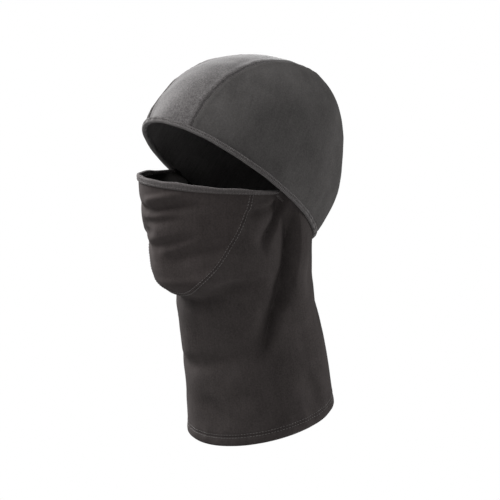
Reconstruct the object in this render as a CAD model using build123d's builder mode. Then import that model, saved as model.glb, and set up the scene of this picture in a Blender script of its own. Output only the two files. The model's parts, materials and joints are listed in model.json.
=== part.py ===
"""Hinged balaclava: a three-panel hood, a face mask and a neck tube, in one-layer stretch fleece.

Millimetres, +Z up. The face looks along -Y and the wearer's left side is +X. The origin is the
point inside the crown where the top of the head rests. The hood and the mask both swing about one
line through the two sewn hinge points beside the ears, and the neck tube stays on the neck.
"""
import os
from math import cos, pi, radians, sin, tan

from build123d import *

# ---- cloth and thread -------------------------------------------------------------------------
cloth = 1.6  # thickness of the brushed fleece
binding_proud = 0.7  # a binding stands this far out of the cloth on both faces
thread = 0.5  # how far a stitch row stands out
thread_width = 0.8
row_spacing = 3.2  # between the two rows of a double-stitched seam
body_gap = 0.4  # between cloth edges that belong to different moving bodies

# ---- hood: a dome standing on a rim plane that slopes up to the forehead -----------------------
rim_tilt = 40.0  # degrees, front edge high
rim_y = -21.0
rim_z = -121.0
rim_half_width = 84.0
rim_half_length = 106.0
dome_height = 134.0
dome_lean = -7.0  # the mid-height sections stand this far forward along the rim plane
side_fullness = 2.6  # superellipse exponents of the side and front profiles
front_fullness = 1.85
center_panel_brim = 34.0  # half widths of the tapered centre panel
center_panel_crown = 22.0
center_panel_nape = 25.0
hood_binding_width = 5.0

# ---- hinge line and mask top edge --------------------------------------------------------------
hinge_y = -27.5
hinge_z = -115.0
mask_edge_rise = 0.12  # the top edge climbs this much per millimetre towards the nose
mask_binding_front = 6.5
mask_binding_hinge = 2.5
shield_half_width = 71.5  # the front mask panel is shield shaped, seen from the front
shield_height = 111.0
shield_fullness = 1.88

# ---- neck tube: height, half width, front and back of each cross-section ------------------------
tube_sections = [
    (-96, 79, -113, 59),  # above the top edge
    (-125, 79, -111, 59),  # nose
    (-160, 77, -106, 57),  # mouth
    (-185, 74, -99, 54),  # chin
    (-203, 71, -94, 54),  # under the chin
    (-219, 69, -80, 57),  # throat
    (-240, 67, -69, 62),
    (-270, 67, -64, 70),
    (-310, 69, -57, 78),
    (-345, 71, -55, 85),
    (-372, 73, -54, 92),  # below the hem
]
back_share = 0.43  # the widest point lies this share of the depth in front of the back
neck_tuck = 6.0  # the neck cloth runs this far up inside the hood
hem_y = 13.0
hem_z = -346.0
hem_slope = 0.27  # the hem hangs lower in front
hem_stitch_height = 9.5
hem_facing_height = 14.0
label_width = 32.0
label_height = 40.0
label_thickness = 0.4
label_top = -204.0
bartack_length = 8.0
bartack_width = 2.0
bartack_proud = 1.0
reach = 200.0  # larger than the object, for the cutting prisms
back_end = 110.0  # just behind the hem

rim_center = Vector(0, rim_y, rim_z)
dome_axis = Vector(0, sin(radians(rim_tilt)), cos(radians(rim_tilt)))
rim_back = Vector(0, cos(radians(rim_tilt)), -sin(radians(rim_tilt)))


def dome_plane(height):
    """Section plane parallel to the rim, with its own y axis pointing to the nape."""
    lean = dome_lean * sin(pi * min(height / dome_height, 1.0))
    center = rim_center + dome_axis * height + rim_back * lean
    return Plane(origin=center, x_dir=(1, 0, 0), z_dir=dome_axis)


def hood_solid(grow):
    """The filled dome, grown outwards by a distance all round."""
    shares = [0.0, 0.2, 0.4, 0.58, 0.73, 0.85, 0.93, 0.98, 0.996]
    height = dome_height + grow
    with BuildPart() as dome:
        for share in shares:
            width = (rim_half_width + grow) * (1 - share**side_fullness) ** (1 / side_fullness)
            length = (rim_half_length + grow) * (1 - share**front_fullness) ** (1 / front_fullness)
            with BuildSketch(dome_plane(share * height)):
                Ellipse(width, length)
        loft()
    return dome.part


def tube_solid(grow):
    """The filled neck and face tube, grown outwards by a distance all round."""
    with BuildPart() as tube:
        for height, half_width, front, back in tube_sections:
            widest = back - back_share * (back - front)
            with BuildSketch(Plane.XY.offset(height)):
                with BuildLine():
                    center = (0, widest)
                    width = half_width + grow
                    EllipticalCenterArc(center, width, back - widest + grow, 0, arc_size=180)
                    EllipticalCenterArc(center, width, widest - front + grow, 180, arc_size=180)
                make_face()
        loft()
    return tube.part


def skin(solid, inner, outer):
    """The layer between two grown copies of a filled solid."""
    with BuildPart() as layer:
        add(solid(outer))
        add(solid(inner), mode=Mode.SUBTRACT)
    return layer.part


def side_prism(points, low=-reach, high=reach):
    """A prism from x = low to x = high whose outline is given as (y, z) points."""
    with BuildPart() as prism:
        with BuildSketch(Plane.YZ.offset(low)):
            with BuildLine():
                Polyline(*points, close=True)
            make_face()
        extrude(amount=high - low)
    return prism.part


def rim_slab(low, high):
    """Everything between two heights above the rim plane."""
    with BuildPart() as slab:
        with BuildSketch(dome_plane(0).offset(low)):
            Rectangle(2 * reach, 2 * reach)
        extrude(amount=high - low)
    return slab.part


def center_prism(grow):
    """Prism of the waisted centre panel outline, standing on the rim plane."""
    brim = (center_panel_brim + grow, -rim_half_length - 20)
    crown = (center_panel_crown + grow, -10)
    nape = (center_panel_nape + grow, rim_half_length + 20)
    mirrored = [(-x, y) for x, y in (nape, crown, brim)]
    with BuildPart() as prism:
        with BuildSketch(dome_plane(0).offset(-20)):
            with BuildLine():
                Spline(brim, crown, nape)
                Line(nape, mirrored[0])
                Spline(*mirrored)
                Line(mirrored[-1], brim)
            make_face()
        extrude(amount=dome_height + 60)
    return prism.part


def shield_prism(grow):
    """Prism of the front mask panel outline, from the hinge line forwards."""
    width = shield_half_width + grow
    height = shield_height + grow
    steps = 8
    angles = [pi / 2 * i / steps for i in range(steps + 1)]
    power = 2 / shield_fullness
    right = [(width * cos(a) ** power, mask_front_z - height * sin(a) ** power) for a in angles[:-1]]
    tip = (0, mask_front_z - height)
    left = [(-x, z) for x, z in reversed(right)]
    with BuildPart() as prism:
        with BuildSketch(Plane.XZ.offset(-hinge_y)):
            with BuildLine():
                Spline(*right, tip, *left)
                Polyline(left[-1], (-width, 0), (width, 0), right[0])
            make_face()
        extrude(amount=reach)
    return prism.part


def mask_edge(y):
    """Height of the mask's top edge at a distance y."""
    return hinge_z + mask_edge_rise * (hinge_y - y)


def hem_height(y, above=0.0):
    """Height of the hem plane at a distance y."""
    return hem_z + hem_slope * (y - hem_y) + above


def rim_height(y, above=0.0):
    """Height, at a distance y, of the plane that lies a distance above the rim plane."""
    return rim_z - tan(radians(rim_tilt)) * (y - rim_y) + above / cos(radians(rim_tilt))


def hem_band(low, high):
    """Side outline of the band between two heights over the hem."""
    return [(-reach, hem_height(-reach, low)), (reach, hem_height(reach, low)),
            (reach, hem_height(reach, high)), (-reach, hem_height(-reach, high))]


mask_front_z = mask_edge(min(section[2] for section in tube_sections))
binding_top = [(-reach, mask_edge(-reach)), (hinge_y, hinge_z)]
binding_foot_slope = (mask_binding_front - mask_binding_hinge) / (hinge_y + 110.0)


def mask_binding_foot(y, above=0.0):
    """Height of the lower edge of the mask binding, which narrows towards the hinge."""
    return mask_edge(y) - mask_binding_hinge - binding_foot_slope * (hinge_y - y) + above


def mask_band(low, high):
    """Side outline between two heights over the lower edge of the mask binding."""
    return [(-reach, mask_binding_foot(-reach, low)), (hinge_y, mask_binding_foot(hinge_y, low)),
            (hinge_y, mask_binding_foot(hinge_y, high)), (-reach, mask_binding_foot(-reach, high))]


# ---- layers that the pieces are cut from ---------------------------------------------------------
hood_cloth = skin(hood_solid, -cloth, 0)
hood_thread = skin(hood_solid, 0, thread)
hood_rim_layer = skin(hood_solid, -cloth - binding_proud, binding_proud)
hood_rim_thread = skin(hood_solid, binding_proud, binding_proud + thread)
tube_cloth = skin(tube_solid, -cloth, 0)
tube_thread = skin(tube_solid, 0, thread)
tube_far_thread = skin(tube_solid, body_gap, body_gap + thread)
tube_rim_layer = skin(tube_solid, -cloth - binding_proud, binding_proud)
tube_rim_thread = skin(tube_solid, binding_proud, binding_proud + thread)
tube_facing = skin(tube_solid, -2 * cloth, -cloth)
tube_tack = skin(tube_solid, 0, bartack_proud)
tube_label = skin(tube_solid, -cloth - label_thickness, -cloth)

binding_zone = rim_slab(-1.0, hood_binding_width)
above_binding = rim_slab(hood_binding_width, dome_height + 20)
center_zone = center_prism(0)
shield_zone = shield_prism(0)
left_half = side_prism([(-reach, -2 * reach), (reach, -2 * reach), (reach, reach), (-reach, reach)], low=0)
hem_cut = side_prism(hem_band(-reach, 0))
mask_top_cut = side_prism([(-reach, mask_binding_foot(-reach)), (0, mask_binding_foot(0)),
                           (0, reach), (-reach, reach)])
neck_step = hinge_y + body_gap
neck_top_cut = side_prism([(-reach, mask_binding_foot(-reach, -body_gap)),
                           (neck_step, mask_binding_foot(neck_step, -body_gap)),
                           (neck_step, rim_height(neck_step, neck_tuck)), (reach, rim_height(reach, neck_tuck)),
                           (reach, reach), (-reach, reach)])

os.makedirs("parts", exist_ok=True)


def finish(piece, name):
    """Label one finished piece and write it to its own file."""
    piece.part.label = name
    export_step(piece.part, f"parts/{name}.step")


# ---- hood ----------------------------------------------------------------------------------------
with BuildPart() as crown_center_panel:
    add(hood_cloth)
    add(center_zone, mode=Mode.INTERSECT)
    add(above_binding, mode=Mode.INTERSECT)
finish(crown_center_panel, "crown_center_panel")

with BuildPart() as crown_left_panel:
    add(hood_cloth)
    add(center_zone, mode=Mode.SUBTRACT)
    add(above_binding, mode=Mode.INTERSECT)
    add(left_half, mode=Mode.INTERSECT)
finish(crown_left_panel, "crown_left_panel")

with BuildPart() as crown_right_panel:
    add(crown_left_panel.part)
    mirror(about=Plane.YZ, mode=Mode.REPLACE)
finish(crown_right_panel, "crown_right_panel")

with BuildPart() as crown_seam_stitches_left:
    add(hood_thread)
    add(center_prism(row_spacing / 2 + thread_width / 2), mode=Mode.INTERSECT)
    add(center_prism(row_spacing / 2 - thread_width / 2), mode=Mode.SUBTRACT)
    add(above_binding, mode=Mode.INTERSECT)
    add(left_half, mode=Mode.INTERSECT)
finish(crown_seam_stitches_left, "crown_seam_stitches_left")

with BuildPart() as crown_seam_stitches_right:
    add(crown_seam_stitches_left.part)
    mirror(about=Plane.YZ, mode=Mode.REPLACE)
finish(crown_seam_stitches_right, "crown_seam_stitches_right")

with BuildPart() as hood_face_binding:
    add(hood_rim_layer)
    add(binding_zone, mode=Mode.INTERSECT)
finish(hood_face_binding, "hood_face_binding")

with BuildPart() as hood_binding_stitches:
    add(hood_rim_thread)
    add(rim_slab(hood_binding_width - 1.6, hood_binding_width - 1.6 + thread_width), mode=Mode.INTERSECT)
finish(hood_binding_stitches, "hood_binding_stitches")

# ---- mask ----------------------------------------------------------------------------------------
with BuildPart() as mask_front_panel:
    add(tube_cloth)
    add(shield_zone, mode=Mode.INTERSECT)
    add(mask_top_cut, mode=Mode.SUBTRACT)
finish(mask_front_panel, "mask_front_panel")

with BuildPart() as mask_top_binding:
    add(tube_rim_layer)
    add(side_prism([(-reach, mask_binding_foot(-reach)), (hinge_y, mask_binding_foot(hinge_y)),
                    (hinge_y, hinge_z), (-reach, mask_edge(-reach))]), mode=Mode.INTERSECT)
finish(mask_top_binding, "mask_top_binding")

with BuildPart() as mask_binding_stitches:
    add(tube_rim_thread)
    add(side_prism(mask_band(0.9, 0.9 + thread_width)), mode=Mode.INTERSECT)
finish(mask_binding_stitches, "mask_binding_stitches")

# ---- neck ----------------------------------------------------------------------------------------
with BuildPart() as neck_panel:
    add(tube_cloth)
    add(neck_top_cut, mode=Mode.SUBTRACT)
    add(shield_prism(body_gap), mode=Mode.SUBTRACT)
    add(hem_cut, mode=Mode.SUBTRACT)
finish(neck_panel, "neck_panel")

with BuildPart() as mask_seam_stitches_left:
    add(tube_far_thread)
    add(shield_prism(row_spacing / 2 + thread_width), mode=Mode.INTERSECT)
    add(shield_prism(row_spacing / 2), mode=Mode.SUBTRACT)
    add(neck_top_cut, mode=Mode.SUBTRACT)
    add(left_half, mode=Mode.INTERSECT)
finish(mask_seam_stitches_left, "mask_seam_stitches_left")

with BuildPart() as mask_seam_stitches_right:
    add(mask_seam_stitches_left.part)
    mirror(about=Plane.YZ, mode=Mode.REPLACE)
finish(mask_seam_stitches_right, "mask_seam_stitches_right")

with BuildPart() as neck_back_seam_stitches:
    add(tube_thread)
    add(side_prism([(0, rim_height(0, -4)), (back_end, rim_height(back_end, -4)),
                    (back_end, hem_height(back_end, hem_facing_height)), (0, hem_height(0, hem_facing_height))],
                   -thread_width / 2, thread_width / 2), mode=Mode.INTERSECT)
finish(neck_back_seam_stitches, "neck_back_seam_stitches")

with BuildPart() as hem_facing:
    add(tube_facing)
    add(side_prism(hem_band(0, hem_facing_height)), mode=Mode.INTERSECT)
finish(hem_facing, "hem_facing")

with BuildPart() as hem_coverstitch:
    add(tube_thread)
    add(side_prism(hem_band(hem_stitch_height, hem_stitch_height + thread_width)), mode=Mode.INTERSECT)
finish(hem_coverstitch, "hem_coverstitch")

tack_y = hinge_y + 2.0
with BuildPart() as hinge_bartack_left:
    add(tube_tack)
    add(side_prism([(tack_y, rim_height(tack_y, -1.0)),
                    (tack_y + bartack_length, rim_height(tack_y + bartack_length, -1.0)),
                    (tack_y + bartack_length, rim_height(tack_y + bartack_length, -1.0 - bartack_width)),
                    (tack_y, rim_height(tack_y, -1.0 - bartack_width))], low=0), mode=Mode.INTERSECT)
finish(hinge_bartack_left, "hinge_bartack_left")

with BuildPart() as hinge_bartack_right:
    add(hinge_bartack_left.part)
    mirror(about=Plane.YZ, mode=Mode.REPLACE)
finish(hinge_bartack_right, "hinge_bartack_right")

with BuildPart() as care_label:
    add(tube_label)
    add(side_prism([(0, label_top), (reach, label_top), (reach, label_top - label_height),
                    (0, label_top - label_height)], -label_width / 2, label_width / 2), mode=Mode.INTERSECT)
finish(care_label, "care_label")
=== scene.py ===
"""Looks of the hinged balaclava: a three-panel hood, a face mask and a neck tube in stretch fleece.

The surfaces are worked out in millimetres in the CAD model's own frame and scaled to metres when a
mesh is made. +Z is up, the face looks along -Y and the wearer's left side is +X. Every cloth panel
is one closed sheet of its real thickness, and its folds, seams and hems are in the mesh.
"""
import json
from math import cos, pi, radians, sin, tan

import bpy
import numpy as np
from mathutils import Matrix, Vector


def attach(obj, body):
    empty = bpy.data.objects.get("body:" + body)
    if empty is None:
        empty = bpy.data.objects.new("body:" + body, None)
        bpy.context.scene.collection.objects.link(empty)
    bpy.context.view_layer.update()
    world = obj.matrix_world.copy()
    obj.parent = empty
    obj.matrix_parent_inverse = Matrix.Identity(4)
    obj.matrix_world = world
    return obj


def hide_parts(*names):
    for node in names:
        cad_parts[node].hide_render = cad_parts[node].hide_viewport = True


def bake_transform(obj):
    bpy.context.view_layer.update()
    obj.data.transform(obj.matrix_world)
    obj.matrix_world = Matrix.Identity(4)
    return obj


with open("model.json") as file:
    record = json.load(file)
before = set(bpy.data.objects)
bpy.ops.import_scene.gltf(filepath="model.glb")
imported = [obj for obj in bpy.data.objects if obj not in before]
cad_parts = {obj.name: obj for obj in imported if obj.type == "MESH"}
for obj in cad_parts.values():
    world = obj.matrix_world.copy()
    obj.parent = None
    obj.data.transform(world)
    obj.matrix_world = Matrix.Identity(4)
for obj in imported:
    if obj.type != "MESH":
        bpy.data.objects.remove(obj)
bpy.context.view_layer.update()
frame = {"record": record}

MM = 0.001
SEED = 11
rng = np.random.default_rng(SEED)

# ---- sizes in millimetres, the CAD model's own or close to them ----
CLOTH = 1.5
RIM_TILT = radians(40)
RIM_CENTER = np.array([0, -21, -121.0])
RIM_HALF_WIDTH = 84.0
RIM_HALF_LENGTH = 106.0
DOME_HEIGHT = 134.0
DOME_NEAREST, DOME_FARTHEST = 40.0, 160.0  # from the rim's centre
DOME_LEAN = -7.0
SIDE_FULLNESS = 2.6
FRONT_FULLNESS = 1.85
CENTER_PANEL = ([-126.0, -10.0, 126.0], [34.0, 22.0, 25.0])  # place along the rim, half width
HINGE = np.array(frame["record"]["behaviour"]["joints"][0]["pos_m"]) / MM
MASK_RISE = 0.12
MASK_BINDING_FRONT = 6.8
MASK_BINDING_HINGE = 3.0
SHIELD_HALF_WIDTH = 71.5
SHIELD_HEIGHT = 111.0
SHIELD_FULLNESS = 1.88
BACK_SHARE = 0.43  # the tube is widest this share of its depth ahead of its back
HEM_Y = 13.0
HEM_Z = -347.5
HEM_SLOPE = 0.25
HEM_STITCH = 9.5  # height of the cover stitch above the lower edge
HEM_FACING = 14.0  # height of the layer that is turned up inside
TUBE = np.array([  # height, half width, front and back of each cross-section, bottom first
    (-372, 73, -54, 92), (-345, 71, -55, 85), (-310, 69, -57, 78), (-270, 67, -64, 70),
    (-240, 67, -69, 62), (-219, 69, -80, 57), (-203, 71, -94, 54), (-185, 74, -99, 54),
    (-160, 77, -106, 57), (-125, 79, -111, 59), (-96, 79, -113, 59)], float).T
HINGE_WIDEST = -14.5  # at the hinge's height the tube is widest at this y
HINGE_REACH = 97.5  # and its front lies this far ahead of that
TUBE_RADIUS = 74.0  # turns an angle round the tube into a distance
DOME_RADIUS = 105.0  # the same for the hood
NAPE_TUCK = 14.0  # the hood draws in by this much at the nape, over the tuck's height
NAPE_TUCK_HEIGHT = 52.0
NAPE_SWELL = 2.0  # and stands out by this much just above the tuck
HOOD_EASE = 1.5  # the hood cloth stands this far off the plain dome
CROWN_DIP = 3.2  # the crown lies this much lower than the plain dome
TEMPLE_DIP = 1.2  # and the temples this much further in
FACE_EASE = 2.3  # the mask and the throat stand this far off the plain tube

# Places on the hood, as an angle from the brim to the nape, and how far round each its shape reaches.
CROWN_PLACE, CROWN_REACH = 1.3, 0.6
NAPE_PLACE, NAPE_REACH = 2.55, 0.3
TEMPLE_PLACE, TEMPLE_REACH = 0.30, 0.20
TEMPLE_SIDE, TEMPLE_SIDE_REACH = 0.95, 0.25  # the same as side angles

# A sewn seam lies in a groove between two low welts: the groove's depth and width, then the welts'
# height, distance from the seam and width.
CROWN_SEAM = (1.25, 1.3, 0.55, 3.6, 2.2)
MASK_SEAM = (0.6, 0.9, 0.75, 0.0, 3.4)
BACK_SEAM = (1.1, 1.1, 0.5, 3.2, 2.2)
HEM_GROOVE, HEM_GROOVE_WIDTH = 0.75, 1.6
HEM_ROLL, HEM_ROLL_PLACE, HEM_ROLL_WIDTH = 0.5, 4.8, 3.6
EDGE_ROUND = 1.6  # the lower edge is rounded over this height
PUCKER = 0.20  # height of the short puckers beside a crown seam
DRAG = 0.34  # height of the longer drag lines beyond them
LIFT_CENTER = 20.0  # the hood's lifts point away from a place this far above the rim's centre

X = np.array([1.0, 0, 0])
DOME_AXIS = np.array([0, sin(RIM_TILT), cos(RIM_TILT)])
RIM_BACK = np.array([0, cos(RIM_TILT), -sin(RIM_TILT)])


# ---- small mathematics ----
def smooth(xs, ys, x):
    """Cubic curve through the points (xs, ys), read at x."""
    xs, ys = np.asarray(xs, float), np.asarray(ys, float)
    slopes = np.gradient(ys, xs)
    i = np.clip(np.searchsorted(xs, x) - 1, 0, len(xs) - 2)
    step = xs[i + 1] - xs[i]
    t = np.clip((x - xs[i]) / step, 0, 1)
    rise = (3 - 2 * t) * t * t
    lead = t * (1 - t) ** 2 * step * slopes[i]
    trail = t * t * (t - 1) * step * slopes[i + 1]
    return ys[i] * (1 - rise) + ys[i + 1] * rise + lead + trail


def step_up(low, high, x):
    """0 below low, 1 above high, smooth between."""
    t = np.clip((x - low) / (high - low), 0, 1)
    return t * t * (3 - 2 * t)


def unit(v):
    return v / np.linalg.norm(v, axis=-1, keepdims=True)


def bell(d, width):
    return np.exp(-(d / width) ** 2)


def seam_relief(d, seam):
    """Height that a sewn seam gives the cloth at a distance from it."""
    depth, width, welt, place, welt_width = seam
    return welt * bell(np.abs(d) - place, welt_width) - depth * bell(d, width)


def bisect(inside, low, high, rounds=34):
    """The value at which inside(value) turns from true to false, for whole arrays."""
    for _ in range(rounds):
        middle = (low + high) / 2
        yes = inside(middle)
        low, high = np.where(yes, middle, low), np.where(yes, high, middle)
    return (low + high) / 2


def run_along(points):
    """Distance from the first point to each point of a line, measured along it."""
    return np.concatenate([[0], np.cumsum(np.linalg.norm(np.diff(points, axis=0), axis=1))])


def through(points, count):
    """count points, evenly spaced, on a smooth curve through a few points."""
    points = np.asarray(points, float)
    at = run_along(points)
    wanted = np.linspace(0, at[-1], count)
    return np.stack([smooth(at, column, wanted) for column in points.T], -1)


def read_line(wanted, at, points):
    """Points at the wanted distances along a line whose own points lie at the distances at."""
    return np.stack([np.interp(wanted, at, column) for column in points.T], -1)


def evenly(points, count):
    """count points at equal distances along a fine line."""
    at = run_along(points)
    return read_line(np.linspace(0, at[-1], count), at, points)


def evenly_on_tube(line, count):
    """The same for a line of (phi, z) points, with distances measured on the cloth."""
    return evenly(line * (TUBE_RADIUS, 1), count) / (TUBE_RADIUS, 1)


def waves(count, shortest, longest):
    """A soft random height field of sine waves in space, about 1 high at most."""
    lengths = rng.uniform(shortest, longest, count)
    ways = unit(rng.normal(size=(count, 3))) * (2 * pi / lengths)[:, None]
    phases = rng.uniform(0, 2 * pi, count)

    def height(points):
        return np.sin(points @ ways.T + phases).sum(-1) / count ** 0.5 / 1.6
    return height


hood_swell = waves(9, 45, 110)
hood_ripple = waves(9, 14, 30)
tube_swell = waves(9, 40, 100)
tube_ripple = waves(12, 13, 30)


# ---- hood surface ----
def dome_half_sizes(height):
    """Half width, half length and forward lean of the dome's section, and its tuck at the nape."""
    share = np.clip(np.abs(height) / DOME_HEIGHT, 0, 0.99999)
    width = RIM_HALF_WIDTH * (1 - share**SIDE_FULLNESS) ** (1 / SIDE_FULLNESS)
    length = RIM_HALF_LENGTH * (1 - share**FRONT_FULLNESS) ** (1 / FRONT_FULLNESS)
    tuck = NAPE_TUCK * np.clip(1 - np.abs(height) / NAPE_TUCK_HEIGHT, 0, 1) ** 1.5
    return width, length, DOME_LEAN * np.sin(pi * share), tuck


def dome_base(a, b):
    """Point of the plain dome on the ray at side angle a and at angle b from the brim to the nape,
    in the rim's own axes."""
    ray = np.stack([np.sin(a), -np.cos(a) * np.cos(b), np.cos(a) * np.sin(b)], -1)

    def inside(reach):
        height = reach * ray[..., 2]
        width, length, lean, tuck = dome_half_sizes(height)
        along = reach * ray[..., 1] - lean
        length = np.where(along > 0, length - tuck, length)
        fill = (reach * ray[..., 0] / width) ** 2 + (along / length) ** 2
        return (fill < 1) & (np.abs(height) < DOME_HEIGHT)
    reach = bisect(inside, np.full(a.shape, DOME_NEAREST), np.full(a.shape, DOME_FARTHEST))
    dip = CROWN_DIP * bell(b - CROWN_PLACE, CROWN_REACH) * np.cos(a) ** 2
    return ray * (reach - dip)[..., None]


def crown_seam(b):
    """Side angle of the seam between the centre panel and a side panel."""
    def inside(a):
        x, along, _ = np.moveaxis(dome_base(a, b), -1, 0)
        return x < smooth(*CENTER_PANEL, along)
    return bisect(inside, np.zeros(b.shape), np.full(b.shape, radians(60)), 22)


SEAM_B = np.linspace(-0.05, pi + 0.05, 240)
SEAM_A = crown_seam(SEAM_B)


def from_rim(points):
    return RIM_CENTER + points[..., :1] * X + points[..., 1:2] * RIM_BACK + points[..., 2:] * DOME_AXIS


def hood_surface(a, b):
    """Outer face of the hood cloth, with its seams, puckers and soft unevenness."""
    base = dome_base(a, b)
    place = from_rim(base)
    seam = np.interp(b, SEAM_B, SEAM_A)
    d = (np.abs(a) - seam) * DOME_RADIUS
    run = b * DOME_RADIUS
    side = np.sign(a + 1e-9)
    pucker = PUCKER * np.sin(run / 2.15 + 2.0 * np.sin(run / 9 + side) + side) * bell(d, 7)
    drag = DRAG * np.sin(run / 5.3 + d / 6 + side * 2) * bell(np.abs(d) - 7, 8)
    temple = TEMPLE_DIP * bell(b - TEMPLE_PLACE, TEMPLE_REACH)
    temple = temple * bell(np.abs(a) - TEMPLE_SIDE, TEMPLE_SIDE_REACH)
    swell = NAPE_SWELL * bell(b - NAPE_PLACE, NAPE_REACH) * np.cos(a) ** 2
    soft = swell + 0.5 * hood_swell(place) + 0.16 * hood_ripple(place)
    off_rim = step_up(0, 0.12, np.minimum(b, pi - b))
    lift = seam_relief(d, CROWN_SEAM) + pucker + drag + (HOOD_EASE + soft - temple) * off_rim
    outward = unit(base - np.array([0, 0, LIFT_CENTER]) * off_rim[..., None])
    return place + outward @ np.stack([X, RIM_BACK, DOME_AXIS]) * lift[..., None]


NORMAL_STEP = 0.004


def with_normals(surface, u, v, scale=1.0):
    """Points of a surface and its unit normals, by a small step in u and scale times that in v."""
    du = surface(u + NORMAL_STEP, v) - surface(u - NORMAL_STEP, v)
    dv = surface(u, v + NORMAL_STEP * scale) - surface(u, v - NORMAL_STEP * scale)
    return surface(u, v), unit(np.cross(du, dv))


def hood_at(a, b):
    return with_normals(hood_surface, a, b)


def rim_point(theta, out, height):
    """Point out from the rim and above its plane. theta is 0 at the left ear, 90 degrees at the nape."""
    width, length, lean, tuck = dome_half_sizes(height)
    c, s = np.cos(theta), np.sin(theta)
    length = np.where(s > 0, length - tuck, length)
    away = unit(np.stack([c / width, s / length], -1))
    flat = np.stack([width * c, lean + length * s], -1) + away * np.asarray(out)[..., None]
    return from_rim(np.concatenate([flat, np.broadcast_to(height, theta.shape)[..., None]], -1))


# ---- mask and neck surface ----
def hem_height(y):
    return HEM_Z + HEM_SLOPE * (y - HEM_Y)


def mask_edge(y):
    return HINGE[2] + MASK_RISE * (HINGE[1] - y)


def mask_band(y):
    """Width of the mask's top binding, which narrows towards the hinge."""
    forward = np.clip((HINGE[1] - y) / (HINGE[1] + 110), 0, 1)
    return MASK_BINDING_HINGE + (MASK_BINDING_FRONT - MASK_BINDING_HINGE) * forward


def tube_base(phi, z):
    """Plain tube: phi is 0 at the left ear, -90 degrees in front and 90 degrees at the back."""
    half_width, front, back = (smooth(TUBE[0], column, z) for column in TUBE[1:])
    widest = back - BACK_SHARE * (back - front)
    s = np.sin(phi)
    depth = np.where(s > 0, back - widest, widest - front)
    return np.stack([half_width * np.cos(phi), widest + depth * s, z], -1)


def shield_x(z):
    """Half width of the front mask panel at a height."""
    top = mask_edge(TUBE[2].min())
    share = np.clip((top - z) / SHIELD_HEIGHT, 0, 1)
    return SHIELD_HALF_WIDTH * (1 - share**SHIELD_FULLNESS) ** (1 / SHIELD_FULLNESS)


def shield_seam(count):
    """(phi, z) along the seam from its left end under the chin to its right end."""
    top = mask_edge(TUBE[2].min())
    turn = np.linspace(0, pi / 2, 400)
    z = top - SHIELD_HEIGHT * np.sin(turn) ** (2 / SHIELD_FULLNESS)
    half_width = smooth(TUBE[0], TUBE[1], z)
    phi = -np.arccos(np.clip(shield_x(z) / half_width, 0, 1))
    y = tube_base(phi, z)[..., 1]
    keep = z < mask_edge(y) - mask_band(y) + 0.5
    left = np.stack([phi, z], -1)[keep]
    right = np.stack([-pi - phi, z], -1)[keep][-2::-1]
    return evenly_on_tube(np.concatenate([left, right]), count)


SHIELD = shield_seam(201)

# Each fold is a curve of (degrees round the tube, height), its depth, its reach on its front and back
# sides, the shares of its length over which it fades in and out and, on the sharpest, how far its back
# wall is drawn over the valley. Its back side is on the left as it runs, with angles growing to the
# right. A negative depth is a ridge. The right side's folds are mirrored when they are used.
SIDE_FOLDS = [
    ([(58, -205), (40, -240), (18, -268)], 2.4, 9, 11, 0.35, 0.4),
    ([(75, -225), (66, -262), (50, -300)], 2.0, 10, 10, 0.35, 0.4),
    ([(26, -150), (30, -185), (27, -225)], 2.0, 9, 12, 0.3, 0.4),
]
FRONT_FOLDS = [
    ([(-163, -200), (-148, -212), (-130, -222), (-111, -225), (-78, -220), (-61, -214), (-47, -206),
      (-33, -201), (-14, -199)], 9.0, 9, 4.4, 0.25, 0.15),
    ([(-140, -209), (-100, -210), (-70, -203), (-50, -195), (-34, -189)], -3.0, 6, 7, 0.35, 0.35),
    ([(-130, -288), (-104, -290), (-85, -287), (-52, -272), (-28, -266)], 4.6, 10, 8, 0.3, 0.2),
]
LEFT_FOLDS = SIDE_FOLDS + [
    ([(0, -110), (2, -130), (3, -148), (3, -167), (2, -184), (-1, -200), (-8, -216), (-17, -232),
      (-25, -250), (-33, -268), (-40, -296)], 14.0, 11, 4.6, 0.04, 0.35, 3.0),
    ([(7, -124), (9, -148), (9, -176), (3, -212), (-12, -258)], -4.0, 5, 18, 0.15, 0.5),
    ([(0, -118), (-5, -132), (-11, -145), (-17, -159), (-22, -178)], 8.0, 7, 3.2, 0.05, 0.45, 2.0),
    ([(-36, -136), (-24, -133), (-14, -131), (-4, -121)], 4.6, 5.0, 3.6, 0.35, 0.12),
    ([(-34, -129), (-22, -127), (-8, -119)], -2.2, 3.5, 3.5, 0.3, 0.3),
    ([(-110, -173), (-87, -166), (-72, -160), (-54, -155)], 3.6, 6, 4.5, 0.25, 0.4),
    ([(-96, -186), (-71, -175), (-58, -168), (-43, -163), (-28, -160)], 4.6, 9, 6, 0.25, 0.35),
    ([(-112, -134), (-98, -136), (-80, -130), (-66, -127), (-50, -126)], 4.2, 5, 4, 0.15, 0.4),
    ([(-106, -129), (-86, -122), (-72, -117), (-60, -114)], -2.4, 3.5, 3.5, 0.25, 0.4),
    ([(-116, -150), (-95, -147), (-78, -142), (-62, -140)], 3.2, 5, 4, 0.2, 0.45),
    ([(-126, -160), (-108, -159), (-92, -155)], 2.6, 5, 5, 0.2, 0.45),
    ([(-96, -240), (-84, -262), (-80, -300)], 2.0, 12, 12, 0.4, 0.4),
    ([(-100, -318), (-80, -330), (-64, -345)], 2.4, 9, 9, 0.4, 0.3),
    ([(-60, -296), (-42, -318), (-30, -338)], 3.2, 10, 12, 0.4, 0.3),
    ([(-12, -288), (0, -312), (6, -335)], 2.8, 12, 12, 0.4, 0.3),
]
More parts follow.
